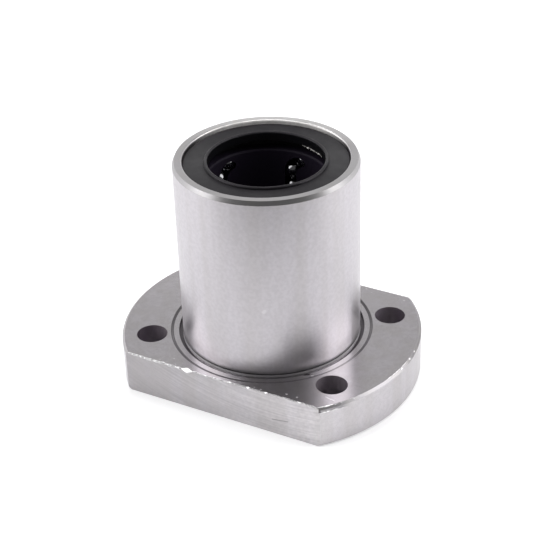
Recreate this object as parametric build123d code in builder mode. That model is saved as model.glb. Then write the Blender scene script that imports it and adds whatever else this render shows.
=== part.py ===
from build123d import *
from math import acos, degrees, floor, pi, sin
import os

# Flanged linear ball bearing for a 20 mm shaft, compact form, millimetres.
# The origin is on the shaft's axis in the flange's outer face, +Z points along the sleeve,
# and the flange's two milled flats look along +Y and -Y.

# Shaft, balls and their circuits
shaft_diameter = 20.0
ball_diameter = 3.175
circuits = 5
first_row_angle = 95.0  # degrees from +X to the first loaded row
row_ball_gap = 0.045  # between neighbours in a straight row
turn_balls = 2  # in each half-round turn
turn_ball_gap = 0.064  # between neighbours in a turn
ball_shaft_clearance = 0.03
ball_race_clearance = 0.05
return_row_lift = 0.8825  # how much further out a return row runs than a loaded row

# Sleeve, one turned and ground piece with its flange
sleeve_length = 42.0
sleeve_wall = 1.7  # round the seal seats
seat_step = 1.045  # from the race out to the seal seat
race_overrun = 0.12
rim_chamfer_width = 0.35  # across the rim
rim_chamfer_length = 0.75  # along the sleeve
seat_rounding = 0.3
ring_groove_depth = 0.6

# Flange
flange_diameter = 54.0
flange_thickness = 8.0
flats_width = 38.0
flange_chamfer = 0.4
hole_end_margin = 9.0  # from a hole's centre to the flange's round end, along X
hole_flat_margin = 7.0  # from a hole's centre to the flat, along Y
hole_diameter = 5.5
counterbore_diameter = 9.0
counterbore_depth = 5.1

# Grinding relief in the flange's inner face, round the sleeve
relief_width = 0.75
relief_depth = 0.6
wheel_mark_width = 1.4  # beyond the relief, its sloping edge included
wheel_mark_depth = 0.1
wheel_mark_slope = 0.3

# Ball retainer, moulded in resin
pocket_clearance = 0.12
retainer_shaft_clearance = 0.35
retainer_race_clearance = 0.25
retainer_seat_clearance = 0.1
retainer_end_wall = 0.3
retainer_end_float = 0.05
retainer_chamfer = 0.25

# Retaining rings, sprung into grooves in the sleeve
ring_thickness = 1.0
ring_width = 2.5
ring_side_play = 0.05
ring_groove_play = 0.05
ring_gap = 5.0
ring_gap_angle = 60.0

# Seals, moulded rubber pressed into the ends of the sleeve
seal_thickness = 2.0
seal_recess = 0.7  # from the sleeve's rim down to the seal's face
seal_seat_clearance = 0.03
seal_shaft_clearance = 0.02
seal_chamfer = 0.2
bead_height = 0.45
bead_width = 0.65
lip_length = 1.2
lip_flare = 1.4

# Sizes that follow from these
shaft_radius = shaft_diameter / 2
ball_radius = ball_diameter / 2
ball_pitch = ball_diameter + row_ball_gap
loaded_radius = shaft_radius + ball_shaft_clearance + ball_radius
return_radius = loaded_radius + return_row_lift
turn_radius = (ball_diameter + turn_ball_gap) / (2 * sin(pi / (2 * turn_balls)))
race_radius = loaded_radius + ball_radius + ball_race_clearance
seat_radius = race_radius + seat_step
sleeve_radius = seat_radius + sleeve_wall
relief_radius = sleeve_radius + relief_width
wheel_mark_radius = relief_radius + wheel_mark_width
flange_radius = flange_diameter / 2
hole_spacing_x = flange_diameter - 2 * hole_end_margin
hole_spacing_y = flats_width - 2 * hole_flat_margin
channel_radius = ball_radius + pocket_clearance

# The two rows of a circuit stand a turn's diameter apart, which spreads them round the shaft
rows_apart = 2 * turn_radius
row_spread = degrees(
    acos((loaded_radius**2 + return_radius**2 - rows_apart**2) / (2 * loaded_radius * return_radius))
)

# Heights are measured from mid-length, because both ends of the inside are alike
half_length = sleeve_length / 2
seal_face_height = half_length - seal_recess
seal_back_height = seal_face_height - seal_thickness
ring_top_height = seal_back_height - ring_side_play
ring_base_height = ring_top_height - ring_thickness
retainer_half = ring_base_height - retainer_end_float
row_room = 2 * (retainer_half - retainer_end_wall - channel_radius - turn_radius)
row_balls = floor(row_room / ball_pitch)
row_half = row_balls * ball_pitch / 2
race_half = row_half + race_overrun

middle = Plane.XY.offset(half_length)
half_section = Plane(origin=(0, 0, half_length), x_dir=(1, 0, 0), z_dir=(0, -1, 0))

os.makedirs("parts", exist_ok=True)


def loop_plane(circuit):
    """Plane through the two rows of one circuit: x from loaded to return row, y up the shaft."""
    angle = first_row_angle + circuit * 360 / circuits
    loaded = Vector(loaded_radius, 0).rotate(Axis.Z, angle)
    back = Vector(return_radius, 0).rotate(Axis.Z, angle - row_spread)
    centre = (loaded + back) / 2 + Vector(0, 0, half_length)
    across = back - loaded
    return Plane(origin=centre, x_dir=across, z_dir=across.cross(Vector(0, 0, 1)))


# Outer sleeve
with BuildPart() as outer_sleeve:
    Cylinder(flange_radius, flange_thickness, align=(Align.CENTER, Align.CENTER, Align.MIN))
    chamfer(outer_sleeve.edges(), flange_chamfer)
    Cylinder(sleeve_radius, sleeve_length, align=(Align.CENTER, Align.CENTER, Align.MIN))
    rim = outer_sleeve.edges().sort_by(Axis.Z)[-1]
    end_face = outer_sleeve.faces().sort_by(Axis.Z)[-1]
    chamfer(rim, rim_chamfer_width, rim_chamfer_length, reference=end_face)

    # The deep relief beside the sleeve, and the shallow ring that the grinding wheel left round it
    with BuildSketch(Plane.XZ):
        with BuildLine():
            Polyline(
                (sleeve_radius, flange_thickness),
                (sleeve_radius, flange_thickness - relief_depth),
                (relief_radius, flange_thickness - relief_depth),
                (relief_radius, flange_thickness - wheel_mark_depth),
                (wheel_mark_radius - wheel_mark_slope, flange_thickness - wheel_mark_depth),
                (wheel_mark_radius, flange_thickness),
                close=True,
            )
        make_face()
    revolve(axis=Axis.Z, mode=Mode.SUBTRACT)

    # Two flats milled across the flange
    with BuildSketch():
        Rectangle(flange_diameter, flats_width)
    extrude(amount=sleeve_length, mode=Mode.INTERSECT)

    # Race, run-outs to the seal seats, ring grooves and lead-ins, the same at both ends
    with BuildSketch(half_section):
        with BuildLine():
            Polyline(
                (0, 0),
                (race_radius, 0),
                (race_radius, race_half),
                (seat_radius, race_half + seat_step),
                (seat_radius, ring_base_height - ring_side_play),
                (seat_radius + ring_groove_depth, ring_base_height - ring_side_play),
                (seat_radius + ring_groove_depth, seal_back_height),
                (seat_radius, seal_back_height),
                (seat_radius, half_length - seat_rounding),
            )
            RadiusArc(
                (seat_radius, half_length - seat_rounding),
                (seat_radius + seat_rounding, half_length),
                seat_rounding,
            )
            Polyline((seat_radius + seat_rounding, half_length), (0, half_length), (0, 0))
        make_face()
        mirror(about=Plane.XZ)
    revolve(axis=Axis.Z, mode=Mode.SUBTRACT)

    # Grooves along the race that give the returning balls room
    with Locations(middle):
        with PolarLocations(return_radius, circuits, start_angle=first_row_angle - row_spread):
            Cylinder(channel_radius, 2 * (race_half + seat_step), mode=Mode.SUBTRACT)

    # Flange screws, sunk in the outer face
    with Locations(Plane.XY.rotated((180, 0, 0))):
        with GridLocations(hole_spacing_x, hole_spacing_y, 2, 2):
            CounterBoreHole(hole_diameter / 2, counterbore_diameter / 2, counterbore_depth, flange_thickness)

outer_sleeve.part.label = "outer_sleeve"
export_step(outer_sleeve.part, "parts/outer_sleeve.step")


# Channel of one circuit, cut from the retainer once for each
def lane_section(plane, side, height):
    """U section of a channel square to a row: round the ball inside, open outwards."""
    spot = plane.from_local_coords((side * turn_radius, height))
    outwards = sleeve_radius - shaft_radius
    with BuildSketch(Plane(origin=spot, x_dir=plane.x_dir, z_dir=(0, 0, 1))) as section:
        with BuildLine():
            ThreePointArc((-channel_radius, 0), (0, -channel_radius), (channel_radius, 0))
            Polyline(
                (channel_radius, 0),
                (channel_radius, outwards),
                (-channel_radius, outwards),
                (-channel_radius, 0),
            )
        make_face()
    return section.sketch


first_loop = loop_plane(0)

with BuildPart() as ball_channel:
    for side in (-1, 1):
        extrude(lane_section(first_loop, side, -row_half), amount=2 * row_half)
    for end in (-1, 1):
        turn_centre = first_loop.from_local_coords((0, end * row_half))
        turn_axis = Axis(turn_centre, first_loop.z_dir * -end)
        revolve(lane_section(first_loop, -1, end * row_half), axis=turn_axis, revolution_arc=180)

# Ball retainer, slim along the race, with a collar at each end that fills the wider bore
retainer_inner_radius = shaft_radius + retainer_shaft_clearance
retainer_outer_radius = race_radius - retainer_race_clearance
collar_radius = seat_radius - retainer_seat_clearance
collar_height = race_half + seat_step + retainer_seat_clearance

with BuildPart() as retainer:
    with BuildSketch(half_section):
        with BuildLine():
            Polyline(
                (retainer_inner_radius, 0),
                (retainer_outer_radius, 0),
                (retainer_outer_radius, collar_height),
                (collar_radius, collar_height),
                (collar_radius, retainer_half - retainer_chamfer),
                (collar_radius - retainer_chamfer, retainer_half),
                (retainer_inner_radius + retainer_chamfer, retainer_half),
                (retainer_inner_radius, retainer_half - retainer_chamfer),
                close=True,
            )
        make_face()
        mirror(about=Plane.XZ)
    revolve(axis=Axis.Z)
    with PolarLocations(0, circuits):
        add(ball_channel.part, mode=Mode.SUBTRACT)

retainer.part.label = "retainer"
export_step(retainer.part, "parts/retainer.step")

# Retaining rings
ring_radius = seat_radius + ring_groove_depth - ring_groove_play

with BuildPart() as retaining_ring_top:
    with BuildSketch(middle.offset(ring_base_height)):
        Circle(ring_radius)
        Circle(ring_radius - ring_width, mode=Mode.SUBTRACT)
        with PolarLocations(ring_radius, 1, start_angle=ring_gap_angle):
            Rectangle(2 * ring_width + ring_gap, ring_gap, mode=Mode.SUBTRACT)
    extrude(amount=ring_thickness)

retaining_ring_top.part.label = "retaining_ring_top"
export_step(retaining_ring_top.part, "parts/retaining_ring_top.step")

with BuildPart() as retaining_ring_bottom:
    mirror(retaining_ring_top.part, about=middle)

retaining_ring_bottom.part.label = "retaining_ring_bottom"
export_step(retaining_ring_bottom.part, "parts/retaining_ring_bottom.step")

# Seals
seal_radius = seat_radius - seal_seat_clearance
lip_radius = shaft_radius + seal_shaft_clearance
bead_top_height = seal_face_height + bead_height

with BuildPart() as seal_top:
    with BuildSketch(half_section):
        with BuildLine():
            Polyline(
                (lip_radius, bead_top_height - bead_width / 2),
                (lip_radius, seal_face_height - lip_length),
                (lip_radius + lip_flare, seal_back_height),
                (seal_radius, seal_back_height),
                (seal_radius, seal_face_height - seal_chamfer),
                (seal_radius - seal_chamfer, seal_face_height),
                (lip_radius + bead_width, seal_face_height),
                (lip_radius + bead_width, bead_top_height - bead_width / 2),
            )
            ThreePointArc(
                (lip_radius + bead_width, bead_top_height - bead_width / 2),
                (lip_radius + bead_width / 2, bead_top_height),
                (lip_radius, bead_top_height - bead_width / 2),
            )
        make_face()
    revolve(axis=Axis.Z)

seal_top.part.label = "seal_top"
export_step(seal_top.part, "parts/seal_top.step")

with BuildPart() as seal_bottom:
    mirror(seal_top.part, about=middle)

seal_bottom.part.label = "seal_bottom"
export_step(seal_bottom.part, "parts/seal_bottom.step")

# Balls of each circuit, in the order that they run: up the loaded row, over the upper turn,
# down the return row and round the lower turn
turn_step = 180 / turn_balls

for circuit in range(circuits):
    plane = loop_plane(circuit)
    number = circuit + 1

    with BuildPart(plane) as loaded_balls:
        with Locations((-turn_radius, -ball_pitch / 2)):
            with GridLocations(0, ball_pitch, 1, row_balls):
                Sphere(ball_radius)
    loaded_balls.part.label = f"loaded_balls_{number}"
    export_step(loaded_balls.part, f"parts/loaded_balls_{number}.step")

    with BuildPart(plane) as upper_turn_balls:
        with Locations((0, row_half)):
            with PolarLocations(turn_radius, turn_balls, start_angle=turn_step, angular_range=180):
                Sphere(ball_radius)
    upper_turn_balls.part.label = f"upper_turn_balls_{number}"
    export_step(upper_turn_balls.part, f"parts/upper_turn_balls_{number}.step")

    with BuildPart(plane) as return_balls:
        with Locations((turn_radius, ball_pitch / 2)):
            with GridLocations(0, ball_pitch, 1, row_balls):
                Sphere(ball_radius)
    return_balls.part.label = f"return_balls_{number}"
    export_step(return_balls.part, f"parts/return_balls_{number}.step")

    with BuildPart(plane) as lower_turn_balls:
        with Locations((0, -row_half)):
            with PolarLocations(turn_radius, turn_balls, start_angle=turn_step - 180, angular_range=180):
                Sphere(ball_radius)
    lower_turn_balls.part.label = f"lower_turn_balls_{number}"
    export_step(lower_turn_balls.part, f"parts/lower_turn_balls_{number}.step")
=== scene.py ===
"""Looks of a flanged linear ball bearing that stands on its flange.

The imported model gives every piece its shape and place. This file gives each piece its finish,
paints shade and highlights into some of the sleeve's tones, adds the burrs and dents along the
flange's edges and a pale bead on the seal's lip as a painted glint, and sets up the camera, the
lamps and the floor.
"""

import logging
import math
import random
from collections.abc import Callable
from dataclasses import dataclass
from enum import Enum

import bmesh
import bpy
from mathutils import Matrix, Vector

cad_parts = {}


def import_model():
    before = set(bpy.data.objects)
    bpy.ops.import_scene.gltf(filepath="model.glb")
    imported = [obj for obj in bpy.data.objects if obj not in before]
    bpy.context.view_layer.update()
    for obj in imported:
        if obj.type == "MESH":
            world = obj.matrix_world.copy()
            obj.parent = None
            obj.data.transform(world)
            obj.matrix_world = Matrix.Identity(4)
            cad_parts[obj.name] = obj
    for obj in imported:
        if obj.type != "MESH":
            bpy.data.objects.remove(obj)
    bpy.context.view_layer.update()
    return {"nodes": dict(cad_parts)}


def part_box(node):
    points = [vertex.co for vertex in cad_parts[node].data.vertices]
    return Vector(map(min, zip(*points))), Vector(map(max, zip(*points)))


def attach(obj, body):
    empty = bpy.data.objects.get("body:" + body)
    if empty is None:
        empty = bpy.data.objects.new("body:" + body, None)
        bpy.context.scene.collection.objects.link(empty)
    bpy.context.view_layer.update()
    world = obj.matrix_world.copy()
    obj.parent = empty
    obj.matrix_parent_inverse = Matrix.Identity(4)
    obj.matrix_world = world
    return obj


LOG = logging.getLogger("bearing")
MM = 0.001

# Where most of a noise's values lie
NOISE_SPAN = (0.3, 0.7)
# Where a stroke starts and ends to fade, as shares of its half width
STROKE_EDGE = (0.6, 1.4)

Colour = tuple[float, float, float]
Place = tuple[float, float, float]
Span = tuple[float, float]
Socket = bpy.types.NodeSocket
Value = Socket | float


class Slot(Enum):
    """Material slots of the record. The added pieces get finishes of their own and don't read
    these.
    """

    GROUND_STEEL = "ground_steel"
    SEAL_RUBBER = "seal_rubber"


class Zone(Enum):
    """Surfaces of the sleeve that differ in how they were made, or in the shade and highlights
    painted on them.
    """

    GROUND = "tube"
    MILLED = "flats"
    SIDE = "round side of the flange"
    HOLE = "screw holes"
    RELIEF = "grinding relief"
    LINE = "line above the tube's foot"
    MARK = "edge of the grinding wheel's mark"
    RIM = "rim"
    LIP = "inner edge of the rim"
    FOOT = "tube's foot"
    CHAMFER = "chamfer"
    # A band of painted shade under the chamfer
    TORN = "torn band under the chamfer"
    OPEN = "top of the flange outside the wheel's mark"


class Stain(Enum):
    """Tones of the small marks on the sleeve's steel."""

    BRIGHT = (0.95, 0.93, 0.95)
    SCUFFED = (0.9, 0.88, 0.9)
    GREY = (0.2, 0.19, 0.2)
    BLACK = (0.06, 0.05, 0.06)


@dataclass(frozen=True)
class Sizes:
    """Real sizes of the sleeve that its finish and its wear follow, in metres."""

    height: float
    flange_radius: float
    flat_y: float
    flange_top: float = 8.0 * MM
    tube_radius: float = 16.0 * MM
    relief_radius: float = 16.75 * MM
    mark_radius: float = 18.0 * MM
    hole_x: float = 18.0 * MM
    hole_y: float = 12.0 * MM
    hole_radius: float = 2.75 * MM
    counterbore_radius: float = 4.5 * MM
    counterbore_depth: float = 5.1 * MM

    @classmethod
    def of_node(cls, node: str) -> "Sizes":
        """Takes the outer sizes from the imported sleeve.

        Args:
            node: Name of the sleeve's node.

        Returns:
            The sizes.
        """
        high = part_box(node)[1]
        return cls(height=high[2], flange_radius=high[0], flat_y=high[1])


@dataclass(frozen=True)
class Grain:
    """A noise of its own scale and octaves, stretched along x, y and z."""

    scale: float
    detail: float = 3.0
    stretch: Place = (1.0, 1.0, 1.0)


@dataclass(frozen=True)
class Fade:
    """A number that goes from one value to another while what it follows crosses a span."""

    across: Span
    values: Span = (0.0, 1.0)


class NodeDesk:
    """Builds the nodes of a tree from short calls."""

    def __init__(self, tree: bpy.types.NodeTree) -> None:
        """Takes the tree to work on."""
        self.tree = tree

    def add(self, kind: str, **settings: object) -> bpy.types.Node:
        """Adds a node.

        Args:
            kind: Type of the node.
            **settings: Properties of the node and their values.

        Returns:
            The new node.
        """
        node = self.tree.nodes.new(kind)
        for name, value in settings.items():
            setattr(node, name, value)
        return node

    def feed(self, socket: Socket, value: Value | Colour) -> None:
        """Links a socket to another, or sets its value.

        Args:
            socket: Input to feed.
            value: Output to link to it, or a number, colour or vector.
        """
        if isinstance(value, Socket):
            self.tree.links.new(value, socket)
        elif socket.type == "RGBA":
            colour = value if isinstance(value, tuple) else (value, value, value)
            socket.default_value = (*colour, 1.0)
        else:
            socket.default_value = value

    def maths(self, operation: str, *values: Value) -> Socket:
        """Works out one number from others.

        Args:
            operation: Operation of the math node.
            *values: Its inputs, in order.

        Returns:
            The result's socket.
        """
        node = self.add("ShaderNodeMath", operation=operation)
        for socket, value in zip(node.inputs, values):
            self.feed(socket, value)
        return node.outputs[0]

    def over(self, value: Value, low: Value) -> Socket:
        """Gives 1 where a value is over a limit, and 0 elsewhere."""
        return self.maths("GREATER_THAN", value, low)

    def under(self, value: Value, high: Value) -> Socket:
        """Gives 1 where a value is under a limit, and 0 elsewhere."""
        return self.maths("LESS_THAN", value, high)

    def between(self, value: Value, low: Value, high: Value) -> Socket:
        """Gives 1 where a value lies between two limits, and 0 elsewhere."""
        return self.times(self.over(value, low), self.under(value, high))

    def times(self, first: Value, *others: Value) -> Value:
        """Multiplies numbers.

        Args:
            first: First number.
            *others: The other numbers.

        Returns:
            The product's socket.
        """
        product = first
        for other in others:
            product = self.maths("MULTIPLY", product, other)
        return product

    def reach(self, first: Value, second: Value) -> Socket:
        """Gives the length of a line from its two legs."""
        squares = self.maths("ADD", self.times(first, first), self.times(second, second))
        return self.maths("SQRT", squares)

    def vector(self, operation: str, first: Value | Place, second: Value | Place) -> bpy.types.Node:
        """Adds a vector math node.

        Args:
            operation: Operation of the node.
            first: First vector.
            second: Second vector.

        Returns:
            The node, which has a vector and a value to take.
        """
        node = self.add("ShaderNodeVectorMath", operation=operation)
        self.feed(node.inputs[0], first)
        self.feed(node.inputs[1], second)
        return node

    def split(self, vector: Socket) -> tuple[Socket, ...]:
        """Splits a vector.

        Args:
            vector: Vector to split.

        Returns:
            Its x, y and z.
        """
        parts = self.add("ShaderNodeSeparateXYZ")
        self.feed(parts.inputs[0], vector)
        return tuple(parts.outputs)

    def point(self, *numbers: Value) -> Socket:
        """Joins three numbers to a vector.

        Args:
            *numbers: Its x, y and z.

        Returns:
            The vector's socket.
        """
        joined = self.add("ShaderNodeCombineXYZ")
        for socket, value in zip(joined.inputs, numbers):
            self.feed(socket, value)
        return joined.outputs[0]

    def spread(self, value: Value, source: Span, target: tuple[Value, Value],
               smooth: bool = False) -> Socket:
        """Maps one range of numbers to another, held at its ends.

        Args:
            value: Number to map.
            source: Range that it comes from.
            target: Range that it goes to.
            smooth: Whether it eases in and out.

        Returns:
            The mapped number's socket.
        """
        node = self.add("ShaderNodeMapRange",
                        interpolation_type="SMOOTHSTEP" if smooth else "LINEAR")
        for socket, number in zip(node.inputs, (value, *source, *target)):
            self.feed(socket, number)
        return node.outputs[0]


class ShaderDesk(NodeDesk):
    """Builds the nodes of one material from short calls."""

    def __init__(self, name: str) -> None:
        """Starts an empty material with its principled shader.

        Args:
            name: Name of the material.
        """
        self.material = bpy.data.materials.new(name)
        self.material.use_nodes = True
        super().__init__(self.material.node_tree)
        self.shader = self.tree.nodes["Principled BSDF"]

    def set(self, **sockets: Value | Colour) -> None:
        """Feeds the shader's own sockets.

        Args:
            **sockets: Values of the sockets, named in small letters with underscores.
        """
        for name, value in sockets.items():
            wanted = name.replace("_", " ")
            socket = next(s for s in self.shader.inputs if s.name.lower() == wanted)
            self.feed(socket, value)

    def place(self) -> tuple[Socket, ...]:
        """Gives the x, y and z of the object's own coordinates, in metres."""
        return self.split(self.add("ShaderNodeTexCoord").outputs["Object"])

    def around(self) -> Socket:
        """Gives the distance from the shaft's axis, in metres."""
        x, y, z = self.place()
        return self.reach(x, y)

    def noise(self, where: Socket, scale: float, detail: float) -> Socket:
        """Gives a noise between 0 and 1.

        Args:
            where: Vector that it reads.
            scale: Its scale.
            detail: Its octaves.

        Returns:
            The noise's socket.
        """
        texture = self.add("ShaderNodeTexNoise", noise_dimensions="3D")
        self.feed(texture.inputs["Vector"], where)
        self.feed(texture.inputs["Scale"], scale)
        self.feed(texture.inputs["Detail"], detail)
        return texture.outputs["Fac"]

    def grain(self, grain: Grain) -> Socket:
        """Gives a noise that lies still on the object."""
        stretched = (self.times(a, f) for a, f in zip(self.place(), grain.stretch))
        return self.noise(self.point(*stretched), grain.scale, grain.detail)

    def faded(self, value: Value, fade: Fade) -> Socket:
        """Gives the number that a fade has where it follows a value."""
        return self.spread(value, fade.across, fade.values)

    def uneven(self, noise: Socket, mean: float, swing: float) -> Socket:
        """Lets a number swing about its mean with a noise."""
        return self.spread(noise, NOISE_SPAN, (mean - swing, mean + swing))

    def mixed(self, share: Value, first: Value | Colour, second: Value | Colour) -> Socket:
        """Mixes two colours.

        Args:
            share: Share of the second, 0 to 1.
            first: First colour.
            second: Second colour.

        Returns:
            The mixed colour's socket.
        """
        node = self.add("ShaderNodeMix", data_type="RGBA")
        self.feed(node.inputs["Factor"], share)
        self.feed(node.inputs[6], first)
        self.feed(node.inputs[7], second)
        return node.outputs[2]

    def layered(self, tone: Value | Colour,
                layers: tuple[tuple[Value, Value | Colour], ...]) -> Value | Colour:
        """Lays tones over one another.

        Args:
            tone: Lowest tone.
            layers: Share and tone of each layer, from the lowest to the highest.

        Returns:
            The result's socket.
        """
        for share, colour in layers:
            tone = self.mixed(share, tone, colour)
        return tone

    def stroke(self, start: Place, end: Place, half_width: float) -> Socket:
        """Gives 1 along a short straight line and 0 away from it.

        Args:
            start: Where the line starts, in metres.
            end: Where it ends.
            half_width: Half of its width.

        Returns:
            The mask's socket.
        """
        run = Vector(end) - Vector(start)
        way = tuple(run.normalized())
        here = self.vector("SUBTRACT", self.add("ShaderNodeTexCoord").outputs["Object"], start)
        along = self.vector("DOT_PRODUCT", here.outputs["Vector"], way).outputs["Value"]
        held = self.maths("MINIMUM", self.maths("MAXIMUM", along, 0.0), run.length)
        nearest = self.add("ShaderNodeVectorMath", operation="SCALE")
        self.feed(nearest.inputs[0], way)
        self.feed(nearest.inputs["Scale"], held)
        gap = self.vector("DISTANCE", here.outputs["Vector"], nearest.outputs["Vector"])
        edge = tuple(half_width * share for share in STROKE_EDGE)
        return self.spread(gap.outputs["Value"], edge, (1.0, 0.0))

    def brush(self, crosswise: Socket, lean: float) -> None:
        """Lays the direction of the grain, along which reflections stretch.

        Args:
            crosswise: Mask of the surfaces where it runs round the shaft's axis.
            lean: Its rise elsewhere, where it points up and away from the axis, in metres.
        """
        x, y, z = self.place()
        across = self.point(self.times(y, -1.0), x, 0.0)
        self.set(tangent=self.mixed(crosswise, self.point(x, y, lean), across))

    def bump(self, height: Value, depth: float) -> None:
        """Raises the surface by a pattern.

        Args:
            height: Pattern, 0 to 1.
            depth: Height of its peaks, in metres.
        """
        node = self.add("ShaderNodeBump")
        self.feed(node.inputs["Height"], height)
        self.feed(node.inputs["Distance"], depth)
        self.feed(node.inputs["Strength"], 1.0)
        self.feed(self.shader.inputs["Normal"], node.outputs[0])


@dataclass(frozen=True)
class Scratch:
    """A short scratch, smear or speck on the sleeve's steel, in millimetres."""

    start: Place
    end: Place
    half_width: float
    stain: Stain
    strength: float
    matt: float = 0.0


SCRATCHES = (
    Scratch((1.3, -17.62, 8.0), (3.1, -17.3, 8.0), 0.1, Stain.SCUFFED, 0.8, 0.7),
    Scratch((4.5, -17.0, 8.0), (6.9, -16.1, 8.0), 0.06, Stain.SCUFFED, 0.7, 0.6),
    Scratch((18.6, -15.6, 8.0), (20.5, -15.9, 8.0), 0.07, Stain.BRIGHT, 0.8, 0.7),
    Scratch((12.5, -11.3, 8.0), (13.1, -10.9, 8.0), 0.22, Stain.BLACK, 0.9),
    Scratch((13.6, -11.0, 8.0), (13.9, -10.9, 8.0), 0.13, Stain.BRIGHT, 0.9, 0.8),
    Scratch((10.1, -19.0, 2.87), (13.1, -19.0, 3.27), 0.09, Stain.GREY, 0.6),
    Scratch((19.12, -18.95, 7.55), (19.16, -18.95, 7.15), 0.17, Stain.BLACK, 0.8),
    Scratch((6.66, -14.55, 21.0), (6.78, -14.49, 21.15), 0.32, Stain.BRIGHT, 0.3),
)


@dataclass(frozen=True)
class SleeveZones:
    """Finds the zones of the sleeve from its sizes."""

    sizes: Sizes
    margin: float = 0.03 * MM
    counterbore_margin: float = 0.1 * MM
    skin: float = 0.02 * MM
    rim_depth: float = 0.8 * MM
    lip_radius: float = 14.46 * MM
    foot_depth: float = 0.4 * MM
    foot_rise: float = 0.06 * MM
    line_width: float = 0.26 * MM
    side_depth: float = 0.3 * MM
    chamfer_width: float = 0.5 * MM
    chamfer_depth: float = 0.42 * MM
    chamfer_skin: float = 0.015 * MM
    # Depth of the band of painted shade under the chamfer
    band_depth: float = 0.98 * MM
    mark_half_width: float = 0.26 * MM
    mark_reach: float = 1.0 * MM
    open_skin: float = 0.01 * MM

    def masks(self, desk: ShaderDesk) -> dict[Zone, Socket]:
        """Makes the masks.

        Args:
            desk: Desk of the material.

        Returns:
            A mask for each zone. What lies in none of them is the flange's turned faces.
        """
        sizes, margin = self.sizes, self.margin
        x, y, z = desk.place()
        around = desk.around()
        top, foot_top = sizes.flange_top, sizes.flange_top + self.foot_rise
        relief = (sizes.tube_radius + margin, sizes.relief_radius + margin)
        mark = (sizes.mark_radius - self.mark_half_width, sizes.mark_radius + self.mark_half_width)

        tube = desk.under(around, sizes.tube_radius + margin)
        side = desk.over(around, sizes.flange_radius - self.side_depth)
        rim = desk.over(z, sizes.height - self.rim_depth)
        below = desk.under(z, top - self.skin)
        sloping = desk.between(z, top - self.chamfer_depth, top - self.chamfer_skin)
        outer = desk.over(around, sizes.flange_radius - self.chamfer_width)
        band = desk.between(z, top - self.band_depth, top)
        near_top = desk.over(z, top - self.mark_reach)
        return {
            Zone.GROUND: tube,
            Zone.MILLED: desk.over(desk.maths("ABSOLUTE", y), sizes.flat_y - margin),
            Zone.SIDE: side,
            Zone.HOLE: desk.times(below, self.holes(desk)),
            Zone.RELIEF: desk.times(below, desk.between(around, *relief)),
            Zone.LINE: desk.times(tube, desk.between(z, foot_top, foot_top + self.line_width)),
            Zone.MARK: desk.times(near_top, desk.between(around, *mark)),
            Zone.RIM: rim,
            Zone.LIP: desk.times(rim, desk.under(around, self.lip_radius)),
            Zone.FOOT: desk.times(tube, desk.between(z, top - self.foot_depth, foot_top)),
            Zone.CHAMFER: desk.times(sloping, outer),
            Zone.TORN: desk.times(band, side, desk.over(x, 0.0)),
            Zone.OPEN: desk.times(desk.between(z, top - self.open_skin, foot_top),
                                  desk.over(around, sizes.mark_radius)),
        }

    def holes(self, desk: ShaderDesk) -> Socket:
        """Finds the screw holes and their counterbores.

        Args:
            desk: Desk of the material.

        Returns:
            The mask of both, at any height where they run.
        """
        sizes, margin = self.sizes, self.counterbore_margin
        x, y, z = desk.place()
        across = desk.maths("SUBTRACT", desk.maths("ABSOLUTE", x), sizes.hole_x)
        along = desk.maths("SUBTRACT", desk.maths("ABSOLUTE", y), sizes.hole_y)
        off = desk.reach(across, along)
        narrow = desk.under(off, sizes.hole_radius + self.margin)
        wide = desk.times(desk.under(off, sizes.counterbore_radius + margin),
                          desk.under(z, sizes.counterbore_depth + margin))
        return desk.maths("MAXIMUM", narrow, wide)


@dataclass(frozen=True)
class SleevePatterns:
    """Masks and patterns that the colour, sheen and height of the sleeve's steel share."""

    masks: dict[Zone, Socket]
    mottle: Socket
    turned: Socket
    milled: Socket
    dusty: Value
    # Share of the painted highlight on the rim's far side
    far: Socket


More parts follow.
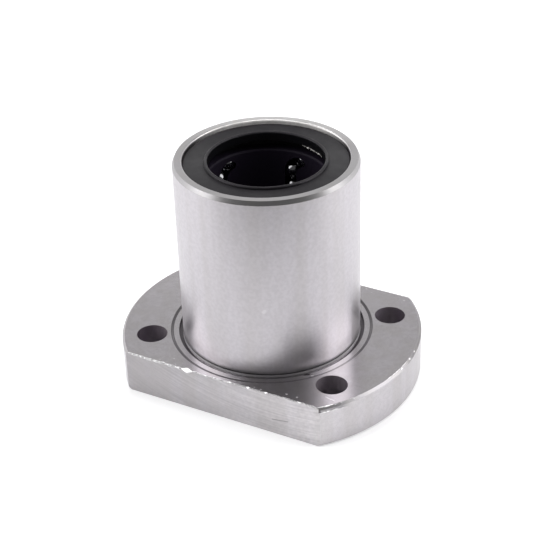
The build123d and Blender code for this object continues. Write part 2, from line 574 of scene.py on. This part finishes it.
@dataclass(frozen=True)
class SleeveSteel:
    """Bearing steel of the sleeve: ground tube, turned flange faces and milled flats."""

    sizes: Sizes

    # Tones of the surfaces
    tube: Colour = (0.64, 0.615, 0.645)
    face: Colour = (0.59, 0.565, 0.59)
    side: Colour = (0.67, 0.645, 0.67)
    flat: Colour = (0.525, 0.505, 0.527)
    # Painted highlight on the flats, which grow lighter towards +x
    highlit_flat: Colour = (0.86, 0.83, 0.85)
    cutter_line: Colour = (0.33, 0.32, 0.34)
    chamfer: Colour = (0.5, 0.48, 0.5)
    # Painted shade on the chamfer, which darkens towards +y
    shaded_chamfer: Colour = (0.24, 0.23, 0.24)
    # Painted shade on a band of the round side under the chamfer
    torn: Colour = (0.27, 0.26, 0.275)
    drilled: Colour = (0.32, 0.275, 0.325)
    rim: Colour = (0.47, 0.46, 0.47)
    # Painted highlights on the far side of the rim and of its inner edge
    far_rim_highlight: Colour = (0.66, 0.65, 0.65)
    far_lip_highlight: Colour = (0.97, 0.95, 0.93)

    # Tones of what lies on them, and of the painted shade in the grinding relief, on the line above
    # the tube's foot and on the edge of the wheel's mark
    mottling: Colour = (0.4, 0.38, 0.4)
    warmth: Colour = (0.45, 0.425, 0.395)
    # Painted shade on the line above the tube's foot and on the edge of the wheel's mark
    line_shade: Colour = (0.1, 0.093, 0.1)
    # Painted shade in the grinding relief
    relief_shade: Colour = (0.12, 0.11, 0.12)
    dust: Colour = (0.85, 0.83, 0.85)
    line_shade_share: float = 0.62
    dust_share: float = 0.6

    # Shares of the metal's sheen that are lost
    dust_matt: float = 0.6
    drilled_matt: float = 0.6
    # Made matt on the rim's far inner edge, so that its painted highlight shows white
    lip_highlight_matt: float = 0.8

    # Roughness: its mean, with its swing where it has one
    tube_roughness: Span = (0.32, 0.02)
    face_roughness: Span = (0.23, 0.02)
    flat_roughness: Span = (0.38, 0.05)
    rim_roughness: float = 0.28
    foot_roughness: float = 0.7
    chamfer_roughness: float = 0.34

    # How far reflections stretch along the grain, and the grain's rise away from the rim
    anisotropy: float = 0.66
    lean: float = 0.06

    # Fine patterns
    mottle: Grain = Grain(1700.0, 1.0)
    cloud: Grain = Grain(330.0, 1.0, (1.0, 1.0, 0.04))
    grind: Grain = Grain(1.0, 1.0, (90.0, 90.0, 1900.0))
    specks: Grain = Grain(1500.0, 0.0)
    turned_rate: float = 5000.0
    turned_detail: float = 2.0
    streak_rate: float = 2600.0
    streak_run: float = 70.0
    streak_detail: float = 3.0
    cutter_x: float = 11.0 * MM
    cutter_z: float = 62.0 * MM
    cutter_feed: float = 0.19 * MM
    turned_height: float = 0.12
    ground_height: float = 0.5
    depth: float = 0.003 * MM

    # How the patterns show, by their own value
    mottled: Fade = Fade((0.35, 0.65), (0.0, 0.18))
    clouded: Fade = Fade((0.38, 0.62), (0.0, 0.2))
    streaked: Fade = Fade((0.35, 0.65))

    # What changes along x
    # Share of the flats' painted highlight, growing towards +x
    flat_highlight: Fade = Fade((-19.0 * MM, 19.0 * MM))
    lined: Fade = Fade((-15.0 * MM, 15.0 * MM), (0.5, 0.28))
    teeth: Fade = Fade((-15.0 * MM, 15.0 * MM), (0.16, 0.07))

    # What changes along y
    # Share of the chamfer's painted shade, growing towards +y
    chamfer_shading: Fade = Fade((-15.0 * MM, 3.0 * MM))
    # Share of that band's painted shade, growing towards -y
    band_shading: Fade = Fade((-14.5 * MM, -16.0 * MM), (0.0, 0.85))
    speck_level: Fade = Fade((16.0 * MM, 19.0 * MM), (0.9, 0.72))

    # What changes across to the far side of the rim, whose way has an x and a y: its painted
    # highlight
    far_way: Span = (-0.36, 0.93)
    far: Fade = Fade((5.0 * MM, 12.0 * MM))

    # What changes along x less y, towards the front corner
    # Strength of the painted shade on the edge of the wheel's mark, weaker towards the front corner
    mark_shading: Fade = Fade((19.0 * MM, 23.5 * MM), (0.85, 0.25))

    def material(self) -> bpy.types.Material:
        """Makes the material.

        Returns:
            The finished material.
        """
        desk = ShaderDesk("sleeve_steel")
        found = self.patterns(desk)
        tone, matt = self.scratched(desk, self.tone(desk, found), self.matt(desk, found))
        desk.set(base_color=tone, metallic=desk.maths("SUBTRACT", 1.0, matt),
                 roughness=self.roughness(desk, found), anisotropic=self.anisotropy)
        desk.brush(found.masks[Zone.RIM], self.lean)
        desk.bump(self.height(desk, found), self.depth)
        return desk.material

    def patterns(self, desk: ShaderDesk) -> SleevePatterns:
        """Makes the shared masks and patterns.

        Args:
            desk: Desk of the material.

        Returns:
            The masks and patterns.
        """
        x, y, z = desk.place()
        rings = desk.point(desk.times(desk.around(), self.turned_rate), 0.0, 0.0)
        towards = desk.maths("MULTIPLY_ADD", x, self.far_way[0], desk.times(y, self.far_way[1]))
        masks = SleeveZones(self.sizes).masks(desk)
        limit = desk.faded(desk.maths("ABSOLUTE", y), self.speck_level)
        specks = desk.over(desk.grain(self.specks), limit)
        return SleevePatterns(
            masks=masks,
            mottle=desk.grain(self.mottle),
            turned=desk.noise(rings, 1.0, self.turned_detail),
            milled=self.milling(desk),
            dusty=desk.times(masks[Zone.OPEN], specks, self.dust_share),
            # Share of the painted highlight on the rim's far side
            far=desk.faded(towards, self.far),
        )

    def milling(self, desk: ShaderDesk) -> Socket:
        """Draws the arcs that the milling cutter left.

        Args:
            desk: Desk of the material.

        Returns:
            The pattern's socket.
        """
        x, y, z = desk.place()
        path = desk.reach(desk.maths("SUBTRACT", x, self.cutter_x),
                          desk.maths("SUBTRACT", z, self.cutter_z))
        sweep = desk.point(desk.times(path, self.streak_rate), desk.times(x, self.streak_run), 0.0)
        streak = desk.noise(sweep, 1.0, self.streak_detail)
        teeth = desk.maths("SINE", desk.times(path, 2 * math.pi / self.cutter_feed))
        return desk.maths("MULTIPLY_ADD", teeth, desk.faded(x, self.teeth), streak)

    def tone(self, desk: ShaderDesk, found: SleevePatterns) -> Socket:
        """Colours the steel, with painted shade and highlights in some of its zones.

        Args:
            desk: Desk of the material.
            found: Its masks and patterns.

        Returns:
            The colour's socket.
        """
        masks = found.masks
        x, y, z = desk.place()
        lined = desk.times(desk.faded(x, self.lined), desk.faded(found.milled, self.streaked))
        # Painted highlight: the flats grow lighter towards +x
        flat = desk.mixed(desk.faded(x, self.flat_highlight), self.flat, self.highlit_flat)
        flat = desk.mixed(lined, flat, self.cutter_line)
        # Painted shade: the chamfer darkens towards +y
        chamfer = desk.mixed(desk.faded(y, self.chamfer_shading), self.chamfer, self.shaded_chamfer)
        # Painted shade on the edge of the wheel's mark, weaker towards the front corner
        mark_shading = desk.faded(desk.maths("SUBTRACT", x, y), self.mark_shading)
        return desk.layered(self.face, (
            (masks[Zone.SIDE], self.side),
            (masks[Zone.GROUND], self.tube),
            # Painted highlights on the far side of the rim and of its inner edge
            (masks[Zone.RIM], desk.mixed(found.far, self.rim, self.far_rim_highlight)),
            (masks[Zone.LIP], desk.mixed(found.far, self.rim, self.far_lip_highlight)),
            (masks[Zone.CHAMFER], chamfer),
            # Painted shade on the band under the chamfer, where x is over 0
            (desk.times(masks[Zone.TORN], desk.faded(y, self.band_shading)), self.torn),
            (masks[Zone.MILLED], flat),
            (masks[Zone.HOLE], self.drilled),
            (desk.faded(found.mottle, self.mottled), self.mottling),
            (desk.faded(desk.grain(self.cloud), self.clouded), self.warmth),
            # Painted shade in the grinding relief
            (masks[Zone.RELIEF], self.relief_shade),
            # Painted shade on the line above the tube's foot and on the edge of the wheel's mark
            (desk.times(masks[Zone.LINE], self.line_shade_share), self.line_shade),
            (desk.times(masks[Zone.MARK], mark_shading), self.line_shade),
            (found.dusty, self.dust),
        ))

    def matt(self, desk: ShaderDesk, found: SleevePatterns) -> Socket:
        """Finds where the steel has lost its metal sheen, and where the rim's far inner edge is
        made matt white for a painted highlight.

        Args:
            desk: Desk of the material.
            found: Its masks and patterns.

        Returns:
            The share that is lost.
        """
        dusty = desk.times(found.dusty, self.dust_matt)
        drilled = desk.times(found.masks[Zone.HOLE], self.drilled_matt)
        # Painted highlight: the rim's far inner edge turns matt and near white
        lip_highlight_share = desk.times(found.masks[Zone.LIP], found.far, self.lip_highlight_matt)
        return desk.maths("MAXIMUM", desk.maths("MAXIMUM", dusty, drilled), lip_highlight_share)

    def scratched(self, desk: ShaderDesk, tone: Socket, matt: Socket) -> tuple[Socket, Socket]:
        """Draws the small marks over the steel.

        Args:
            desk: Desk of the material.
            tone: Colour without them.
            matt: Share of sheen lost without them.

        Returns:
            The colour and the share with them.
        """
        for scratch in SCRATCHES:
            start, end = (tuple(v * MM for v in p) for p in (scratch.start, scratch.end))
            drawn = desk.stroke(start, end, scratch.half_width * MM)
            tone = desk.mixed(desk.times(drawn, scratch.strength), tone, scratch.stain.value)
            matt = desk.maths("MAXIMUM", matt, desk.times(drawn, scratch.matt))
        return tone, matt

    def roughness(self, desk: ShaderDesk, found: SleevePatterns) -> Socket:
        """Roughens each zone in its own way.

        Args:
            desk: Desk of the material.
            found: Its masks and patterns.

        Returns:
            The roughness.
        """
        masks = found.masks
        return desk.layered(desk.uneven(found.turned, *self.face_roughness), (
            (masks[Zone.GROUND], desk.uneven(found.mottle, *self.tube_roughness)),
            (masks[Zone.RIM], self.rim_roughness),
            (masks[Zone.FOOT], self.foot_roughness),
            (masks[Zone.CHAMFER], self.chamfer_roughness),
            (masks[Zone.MILLED], desk.uneven(found.milled, *self.flat_roughness)),
        ))

    def height(self, desk: ShaderDesk, found: SleevePatterns) -> Socket:
        """Raises the fine lines of turning, grinding and milling.

        Args:
            desk: Desk of the material.
            found: Its masks and patterns.

        Returns:
            The lines' height, 0 to 1.
        """
        return desk.layered(desk.times(found.turned, self.turned_height), (
            (found.masks[Zone.GROUND], desk.times(desk.grain(self.grind), self.ground_height)),
            (found.masks[Zone.MILLED], found.milled),
        ))


@dataclass(frozen=True)
class Finish:
    """A finish whose tone, roughness and height follow one noise."""

    name: str
    colour: Colour
    roughness: Span
    grain: Grain
    second: Colour | None = None
    mixing: Fade = Fade((0.0, 1.0))
    metal: float = 0.0
    shine: float = 0.5
    depth: float = 0.0

    def material(self) -> bpy.types.Material:
        """Makes the material.

        Returns:
            The finished material.
        """
        desk = ShaderDesk(self.name)
        noise = desk.grain(self.grain)
        desk.set(base_color=self.colour, metallic=self.metal, specular_ior_level=self.shine,
                 roughness=desk.uneven(noise, *self.roughness))
        if self.second:
            share = desk.faded(noise, self.mixing)
            desk.set(base_color=desk.mixed(share, self.colour, self.second))
        if self.depth:
            desk.bump(noise, self.depth)
        return desk.material


# Torn bright steel of the burrs and dents
RAW_BURR = Finish("raw_burr", (0.97, 0.96, 0.97), (0.32, 0.1), Grain(5000.0),
                  second=(0.85, 0.84, 0.85), metal=0.9, depth=0.02 * MM)
# Pale bead along the edge of the seal's lip, a painted glint line that the lamps light up
LIP_GLINT_FINISH = Finish("lip_glint_finish", (0.6, 0.58, 0.56), (0.275, 0.075), Grain(900.0, 2.0),
                     second=(0.05, 0.05, 0.05), mixing=Fade((0.4, 0.6)))
# Smooth black resin of the ball retainer
MOULDED_RESIN = Finish("moulded_resin", (0.016, 0.012, 0.022), (0.6, 0.08),
                       Grain(1200.0, stretch=(1.0, 1.0, 0.5)), shine=0.12, depth=0.01 * MM)
# Polished steel of the balls, and the darker spring steel of the rings
BALL_STEEL = Finish("ball_steel", (0.28, 0.28, 0.29), (0.091, 0.021), Grain(1500.0, 2.0),
                    metal=1.0)
RING_STEEL = Finish("ring_steel", (0.05, 0.05, 0.052), (0.52, 0.12), Grain(1500.0, 2.0),
                    metal=1.0)


@dataclass(frozen=True)
class SealRubber:
    """Charcoal rubber, very finely grained, with a faint sheen."""

    colour: Colour = (0.006, 0.006, 0.007)
    darkening: float = 0.8
    roughness: Span = (0.43, 0.06)
    shine: float = 0.36
    tint: Colour = (0.97, 0.9, 1.0)
    anisotropy: float = 0.8
    lean: float = 0.03
    lip_radius: float = 10.1 * MM
    fine: Grain = Grain(6000.0)
    cloud: Grain = Grain(400.0)
    depth: float = 0.006 * MM

    def material(self) -> bpy.types.Material:
        """Makes the material.

        Returns:
            The finished material.
        """
        desk = ShaderDesk("seal_rubber")
        cloud = desk.grain(self.cloud)
        darker = tuple(c * self.darkening for c in self.colour)
        desk.set(base_color=desk.mixed(cloud, self.colour, darker),
                 roughness=desk.uneven(cloud, *self.roughness), anisotropic=self.anisotropy,
                 specular_ior_level=self.shine, specular_tint=self.tint)
        desk.brush(desk.under(desk.around(), self.lip_radius), self.lean)
        desk.bump(desk.grain(self.fine), self.depth)
        return desk.material


@dataclass
class Bearing:
    """The bearing's own pieces, each with its finish."""

    nodes: dict[str, bpy.types.Object]
    sizes: Sizes

    def dress(self) -> None:
        """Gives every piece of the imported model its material."""
        finishes = {
            "outer_sleeve": SleeveSteel(self.sizes).material(),
            "retainer": MOULDED_RESIN.material(),
            "seal": SealRubber().material(),
            "retaining_ring": RING_STEEL.material(),
            "balls": BALL_STEEL.material(),
        }
        for name, piece in self.nodes.items():
            finish = next(m for key, m in finishes.items() if key in name)
            for slot in piece.material_slots:
                slot.material = finish
            LOG.info("%s is dressed in %s", name, finish.name)


@dataclass(frozen=True)
class Bead:
    """An uneven bead, in millimetres: its first ring, the move to each next one, and its size."""

    first: Matrix
    onward: Matrix
    steps: int
    radius: float
    drift: float


@dataclass
class EdgeWearAndLipGlint:
    """Burrs and dents along the flange's edges, and a pale bead on the seal's lip as a painted
    glint, in millimetres.
    """

    sizes: Sizes
    body: str = "sleeve"
    seed: int = 7
    sides: int = 6
    least_steps: int = 4

    # Along the flat's upper edge
    corner_x: float = 18.62
    straight_step: float = 0.28
    straight_drift: float = 0.5
    tooth_places: tuple[float, ...] = (-11.3, 2.07, 5.6, 9.06, 15.5)
    tooth_rise: float = 0.03
    tooth_length: float = 0.8
    tooth_thickness: float = 0.2
    tooth_height: Span = (0.3, 0.4)
    tooth_lean: float = 50.0

    # Along the flange's round edge
    round_step: float = 0.3
    round_drift: float = 0.3
    swells: tuple[float, ...] = (0.3, 0.7, 1.0, 1.4)
    chamfer: float = 0.4
    band_depth: float = 0.95
    nick_angles: tuple[float, ...] = (-38.5, -36.0, -31.0, -5.0, 2.0, 7.3)
    nick_depth: Span = (0.25, 0.12)
    nick_length: Span = (0.35, 0.7)
    nick_thickness: float = 0.14
    nick_height: Span = (0.2, 0.35)
    nick_lean: Span = (30.0, 60.0)

    # Radius and height of the edge of the seal's lip
    lip_edge: Span = (10.14, 39.96)

    # Shares of a bead's radius at its ends, and of a flake's size
    end_share: float = 0.4
    rounding: float = 0.12
    raggedness: float = 0.04

    def build(self) -> None:
        """Makes every burr and dent, and the pale bead of painted glint on the seal's lip."""
        chance = random.Random(self.seed)
        flat, top, rim = (size / MM for size in
                          (-self.sizes.flat_y, self.sizes.flange_top, self.sizes.flange_radius))
        edge, low = (rim - self.chamfer, top), (rim, top - self.band_depth)
        corner = self.corner_x
        pieces = [
            self.straight_burr("edge_burr_thick", run=(-corner, -7.6), edge=(flat, top),
                               radius=0.2, jitter=0.22, chance=chance),
            self.straight_burr("edge_burr_thin", run=(-5.3, corner), edge=(flat, top),
                               radius=0.15, jitter=0.25, chance=chance),
            self.round_burr("corner_burr", (-45.5, -30.0), edge, radius=0.09, chance=chance),
            self.round_burr("corner_burr_low", (-45.0, -35.5), low, radius=0.08, chance=chance),
            self.round_burr("arc_burr", (-14.0, 9.0), edge, radius=0.05, chance=chance),
            self.flake("edge_nick", spot=(-6.52, flat - 0.05, top - 0.05), size=(2.6, 0.2, 0.95),
                       turns=(self.tooth_lean, 0.0), chance=chance),
            *self.teeth((flat, top), chance),
            *self.nicks(rim, top, chance),
        ]
        self.carry(pieces, RAW_BURR.material())
        # A pale bead on the edge of the seal's lip: a painted glint line
        glint_piece = self.round_burr("lip_glint_bead", (47.0, 80.0), self.lip_edge, radius=0.1,
                                 chance=chance)
        self.carry([glint_piece], LIP_GLINT_FINISH.material())

    def teeth(self, edge: Span, chance: random.Random) -> list[bpy.types.Object]:
        """Raises small flakes along the flat's upper edge.

        Args:
            edge: The edge's y and z.
            chance: Source of the unevenness.

        Returns:
            The flakes.
        """
        flakes = []
        for number, x in enumerate(self.tooth_places, 1):
            size = (self.tooth_length, self.tooth_thickness, chance.uniform(*self.tooth_height))
            spot = (x, edge[0], edge[1] + self.tooth_rise)
            lean = (self.tooth_lean, 0.0)
            flakes.append(self.flake(f"edge_tooth_{number}", spot, size, lean, chance))
        return flakes

    def nicks(self, rim: float, top: float, chance: random.Random) -> list[bpy.types.Object]:
        """Raises small flakes along the flange's round edge.

        Args:
            rim: The flange's radius.
            top: Height of its top.
            chance: Source of the unevenness.

        Returns:
            The flakes.
        """
        flakes = []
        inwards, down = self.nick_depth
        for number, angle in enumerate(self.nick_angles, 1):
            a = math.radians(angle)
            spot = ((rim - inwards) * math.cos(a), (rim - inwards) * math.sin(a), top - down)
            size = (chance.uniform(*self.nick_length), self.nick_thickness,
                    chance.uniform(*self.nick_height))
            lean = (chance.uniform(*self.nick_lean), angle + 90.0)
            flakes.append(self.flake(f"arc_nick_{number}", spot, size, lean, chance))
        return flakes

    def carry(self, pieces: list[bpy.types.Object], finish: bpy.types.Material) -> None:
        """Gives pieces their finish and slot, and the body that carries them.

        Args:
            pieces: The pieces.
            finish: Their material.
        """
        for piece in pieces:
            piece.data.materials.append(finish)
            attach(piece, self.body)
            LOG.info("%s rides on %s", piece.name, self.body)

    def straight_burr(self, name: str, run: Span, edge: Span, radius: float, jitter: float,
                      chance: random.Random) -> bpy.types.Object:
        """Draws an uneven bead along a straight edge.

        Args:
            name: Name of the piece.
            run: Where it starts and ends along x.
            edge: The edge's y and z.
            radius: Mean radius of the bead.
            jitter: How much the radius wanders, as a share of it.
            chance: Source of the unevenness.

        Returns:
            The burr's object.
        """
        start, end = run
        steps = max(self.least_steps, round((end - start) / self.straight_step))
        first = Matrix.Translation((start, *edge)) @ Matrix.Rotation(math.pi / 2, 4, "Y")
        onward = Matrix.Translation(((end - start) / steps, 0.0, 0.0))
        bead = Bead(first, onward, steps, radius, radius * jitter * self.straight_drift)
        return self.lay(name, bead, lambda: 1.0 + chance.uniform(-jitter, jitter), chance)

    def round_burr(self, name: str, arc: Span, path: Span, radius: float,
                   chance: random.Random) -> bpy.types.Object:
        """Draws an uneven bead along a circle round the shaft's axis.

        Args:
            name: Name of the piece.
            arc: Angles where it starts and ends, in degrees.
            path: The circle's radius and height.
            radius: Mean radius of the bead.
            chance: Source of the unevenness.

        Returns:
            The burr's object.
        """
        start, end = (math.radians(angle) for angle in arc)
        reach, height = path
        steps = max(self.least_steps, round((end - start) * reach / self.round_step))
        out = Matrix.Rotation(start, 4, "Z") @ Matrix.Translation((reach, 0.0, height))
        first = out @ Matrix.Rotation(math.pi / 2, 4, "X")
        onward = Matrix.Rotation((end - start) / steps, 4, "Z")
        bead = Bead(first, onward, steps, radius, radius * self.round_drift)
        return self.lay(name, bead, lambda: chance.choice(self.swells), chance)

    def lay(self, name: str, bead: Bead, swell: Callable[[], float],
            chance: random.Random) -> bpy.types.Object:
        """Draws a bead, thin at both ends.

        Args:
            name: Name of the piece.
            bead: Line and size of the bead.
            swell: Gives the next ring's share of the radius.
            chance: Source of the drift off the line.

        Returns:
            The bead's object.
        """
        shape = bmesh.new()
        bmesh.ops.create_circle(shape, segments=self.sides, radius=bead.radius * self.end_share,
                                matrix=bead.first)
        place, size = bead.first, self.end_share
        for step in range(1, bead.steps + 1):
            ring = self.next_ring(shape)
            bmesh.ops.transform(shape, matrix=bead.onward, verts=ring)
            place = bead.onward @ place
            wanted = self.end_share if step == bead.steps else swell()
            factor, size = wanted / size, wanted
            bmesh.ops.scale(shape, verts=ring, vec=(factor, factor, factor),
                            space=Matrix.Translation(-place.translation))
            off = [chance.uniform(-bead.drift, bead.drift) for _ in range(2)]
            bmesh.ops.translate(shape, verts=ring, vec=(0.0, *off))
        return self.finish(shape, name)

    def next_ring(self, shape: bmesh.types.BMesh) -> list[bmesh.types.BMVert]:
        """Extrudes the open end that was made last.

        Args:
            shape: Mesh under way.

        Returns:
            The new end's vertices.
        """
        shape.verts.ensure_lookup_table()
        last = set(shape.verts[-self.sides:])
        rim = [edge for edge in shape.edges if set(edge.verts) <= last]
        grown = bmesh.ops.extrude_edge_only(shape, edges=rim)["geom"]
        return [part for part in grown if isinstance(part, bmesh.types.BMVert)]

    def flake(self, name: str, spot: Place, size: Place, turns: Span,
              chance: random.Random) -> bpy.types.Object:
        """Makes a raised flake of steel ripped up from the edge, longest along X before it is
        turned.

        Args:
            name: Name of the piece.
            spot: Its centre.
            size: Its length, thickness and height.
            turns: Degrees that it leans back, and that it is then turned about the upright axis.
            chance: Source of the unevenness.

        Returns:
            The flake's object.
        """
        shape = bmesh.new()
        place = Matrix.Rotation(math.pi / 2, 4, "X")
        bmesh.ops.create_circle(shape, cap_ends=True, segments=4, radius=0.5, matrix=place)
        grown = bmesh.ops.extrude_face_region(shape, geom=shape.faces[:])["geom"]
        back = [part for part in grown if isinstance(part, bmesh.types.BMVert)]
        bmesh.ops.translate(shape, verts=back, vec=(0.0, 1.0, 0.0))
        bmesh.ops.translate(shape, verts=shape.verts[:], vec=(0.0, -0.5, 0.0))
        bmesh.ops.bevel(shape, geom=shape.edges[:], offset=self.rounding, segments=2, profile=0.5,
                        affect="EDGES", material=-1)
        ragged = self.raggedness
        for vert in shape.verts:
            vert.co += Vector([chance.uniform(-ragged, ragged) for _ in range(3)])
        stretch = Matrix.Diagonal((*size, 1.0))
        lean, turn = (math.radians(angle) for angle in turns)
        turned = Matrix.Rotation(turn, 4, "Z") @ Matrix.Rotation(-lean, 4, "X") @ stretch
        bmesh.ops.transform(shape, matrix=Matrix.Translation(spot) @ turned, verts=shape.verts[:])
        return self.finish(shape, name)

    def finish(self, shape: bmesh.types.BMesh, name: str) -> bpy.types.Object:
        """Closes a mesh in millimetres and makes an object of it, in metres.

        Args:
            shape: Mesh under way.
            name: Name of the piece.

        Returns:
            The piece's object.
        """
        bmesh.ops.holes_fill(shape, edges=shape.edges[:], sides=self.sides)
        bmesh.ops.recalc_face_normals(shape, faces=shape.faces[:])
        bmesh.ops.scale(shape, verts=shape.verts[:], vec=(MM, MM, MM))
        mesh = bpy.data.meshes.new(name)
        shape.to_mesh(mesh)
        shape.free()
        piece = bpy.data.objects.new(name, mesh)
        bpy.context.scene.collection.objects.link(piece)
        return piece


@dataclass(frozen=True)
class Lamp:
    """One soft box, placed round the bearing, in degrees and metres."""

    name: str
    azimuth: float
    elevation: float
    distance: float
    width: float
    height: float
    radiance: float
    aim: Place = (0.0, 0.0, 0.02)

    def light(self) -> None:
        """Hangs the lamp and turns it to its aim."""
        data = bpy.data.lights.new(self.name, "AREA")
        data.shape = "RECTANGLE"
        data.size, data.size_y = self.width, self.height
        data.energy = self.radiance * math.pi * self.width * self.height
        lamp = bpy.data.objects.new(self.name, data)
        bpy.context.scene.collection.objects.link(lamp)
        a, e = math.radians(self.azimuth), math.radians(self.elevation)
        away = Vector((math.sin(a) * math.cos(e), -math.cos(a) * math.cos(e), math.sin(e)))
        lamp.rotation_mode = "QUATERNION"
        lamp.rotation_quaternion = away.to_track_quat("Z", "Y")
        lamp.location = Vector(self.aim) + away * self.distance


@dataclass(frozen=True)
class Studio:
    """White table, plain surroundings and soft lamps."""

    sizes: Sizes
    camera_azimuth: float

    # Table
    floor_radius: float = 0.3
    floor_sides: int = 64
    floor_shift: float = 0.205
    floor_drop: float = 0.02 * MM
    floor_colour: Colour = (0.8, 0.8, 0.81)
    floor_roughness: float = 0.9
    floor_lift: float = 0.42
    floor_gloss: float = 0.5
    covered_margin: float = 0.5 * MM

    # Strength of the surroundings, and where each part of them gives way to the next
    horizon: float = 1.1
    behind: float = 0.55
    over: float = 0.3
    before: float = 0.16
    horizon_span: Span = (0.42, 0.5)
    over_span: Span = (0.6, 0.8)
    before_span: Span = (0.0, 0.6)

    def build(self) -> None:
        """Makes the floor, the world and the lamps."""
        self.floor()
        self.world()
        for lamp in self.lamps():
            lamp.light()

    def lamps(self) -> tuple[Lamp, ...]:
        """Lists the lamps: one each side, and one overhead.

        Returns:
            The lamps.
        """
        camera = self.camera_azimuth
        return (
            Lamp("soft_box_right", azimuth=camera + 92.0, elevation=42.0, distance=0.32,
                 width=0.246, height=0.4, radiance=1.95),
            Lamp("soft_box_left", azimuth=camera - 88.5, elevation=42.0, distance=0.32,
                 width=0.292, height=0.4, radiance=1.75),
            Lamp("soft_box_over", azimuth=camera + 180.0, elevation=75.0, distance=0.6,
                 width=0.2, height=0.18, radiance=6.0),
        )

    def floor(self) -> None:
        """Lays the white table, mostly behind the bearing."""
        shape = bmesh.new()
        bmesh.ops.create_circle(shape, cap_ends=True, segments=self.floor_sides,
                                radius=self.floor_radius)
        a = math.radians(self.camera_azimuth)
        place = Vector((-math.sin(a), math.cos(a), 0.0)) * self.floor_shift
        place.z = -self.floor_drop
        bmesh.ops.translate(shape, verts=shape.verts, vec=place)
        mesh = bpy.data.meshes.new("table")
        shape.to_mesh(mesh)
        shape.free()
        table = bpy.data.objects.new("table", mesh)
        bpy.context.scene.collection.objects.link(table)
        mesh.materials.append(self.paper())

    def paper(self) -> bpy.types.Material:
        """Makes the table's paper, which the camera sees a little lifted towards white.

        Returns:
            The paper's material.
        """
        desk = ShaderDesk("table_paper")
        desk.set(base_color=self.floor_colour, roughness=self.floor_roughness,
                 specular_ior_level=0.0)
        lift = desk.add("ShaderNodeEmission")
        path = desk.add("ShaderNodeLightPath")
        mirrored = desk.times(path.outputs["Is Glossy Ray"], self.floor_gloss)
        seen = desk.maths("MAXIMUM", path.outputs["Is Camera Ray"], mirrored)
        strength = desk.times(seen, self.uncovered(desk), self.floor_lift)
        desk.feed(lift.inputs["Strength"], strength)
        both = desk.add("ShaderNodeAddShader")
        desk.feed(both.inputs[0], desk.shader.outputs[0])
        desk.feed(both.inputs[1], lift.outputs[0])
        desk.feed(desk.tree.nodes["Material Output"].inputs["Surface"], both.outputs[0])
        return desk.material

    def uncovered(self, desk: ShaderDesk) -> Socket:
        """Tells the open table from the part under the flange, which stays dark.

        Args:
            desk: Desk of the material.

        Returns:
            0 under the flange and 1 elsewhere.
        """
        x, y, z = desk.place()
        margin = self.covered_margin
        beside = desk.over(desk.maths("ABSOLUTE", y), self.sizes.flat_y - margin)
        outside = desk.over(desk.around(), self.sizes.flange_radius - margin)
        return desk.maths("MAXIMUM", beside, outside)

    def world(self) -> None:
        """Makes the surroundings: white to the camera, and to the steel darker in front."""
        world = bpy.data.worlds.new("surroundings")
        world.use_nodes = True
        bpy.context.scene.world = world
        desk = NodeDesk(world.node_tree)
        where = desk.add("ShaderNodeTexCoord").outputs["Generated"]
        x, y, height = desk.split(where)
        rise = desk.spread(height, self.horizon_span, (self.horizon, self.behind), smooth=True)
        rise = desk.spread(height, self.over_span, (rise, self.over), smooth=True)
        a = math.radians(self.camera_azimuth)
        turn = desk.vector("DOT_PRODUCT", where, (math.sin(a), -math.cos(a), 0.0)).outputs["Value"]
        shade = desk.spread(turn, self.before_span, (rise, self.before), smooth=True)
        seen = desk.add("ShaderNodeLightPath").outputs["Is Camera Ray"]
        background = desk.tree.nodes["Background"]
        desk.feed(background.inputs["Color"], (1.0, 1.0, 1.0))
        desk.feed(background.inputs["Strength"], desk.spread(seen, (0.0, 1.0), (shade, 1.0)))


@dataclass(frozen=True)
class PhotoCamera:
    """The photograph's camera, as fitted to the bearing's outline."""

    azimuth: float = 28.989
    elevation: float = 31.595
    roll: float = -1.822
    distance: float = 260.99 * MM
    field_of_view: float = 21.183
    aim_height: float = 18.458 * MM
    aim_side: float = 0.872 * MM
    sensor: float = 36.0
    clip: Span = (0.01, 20.0)

    def place(self) -> None:
        """Sets the camera up."""
        a, e, t = (math.radians(v) for v in (self.azimuth, self.elevation, self.roll))
        side = Vector((math.cos(a), math.sin(a), 0.0))
        back = Vector((math.sin(a) * math.cos(e), -math.cos(a) * math.cos(e), math.sin(e)))
        rise = back.cross(side)
        across = side * math.cos(t) + rise * math.sin(t)
        up = rise * math.cos(t) - side * math.sin(t)
        spot = Vector((0.0, 0.0, self.aim_height)) + side * self.aim_side + back * self.distance

        data = bpy.data.cameras.new("photo_camera")
        data.sensor_width = self.sensor
        data.lens = self.sensor / 2 / math.tan(math.radians(self.field_of_view) / 2)
        data.clip_start, data.clip_end = self.clip
        camera = bpy.data.objects.new("photo_camera", data)
        bpy.context.scene.collection.objects.link(camera)
        turned = Matrix((across, up, back)).transposed().to_4x4()
        camera.matrix_world = Matrix.Translation(spot) @ turned
        bpy.context.scene.camera = camera


def main() -> None:
    """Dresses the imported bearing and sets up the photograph's view of it."""
    logging.basicConfig(level=logging.INFO, format="%(message)s")
    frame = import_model()
    sizes = Sizes.of_node("outer_sleeve")
    Bearing(frame["nodes"], sizes).dress()
    EdgeWearAndLipGlint(sizes).build()
    camera = PhotoCamera()
    camera.place()
    Studio(sizes, camera.azimuth).build()
    bpy.context.scene.view_settings.view_transform = "Standard"


if __name__ == "__main__":
    main()
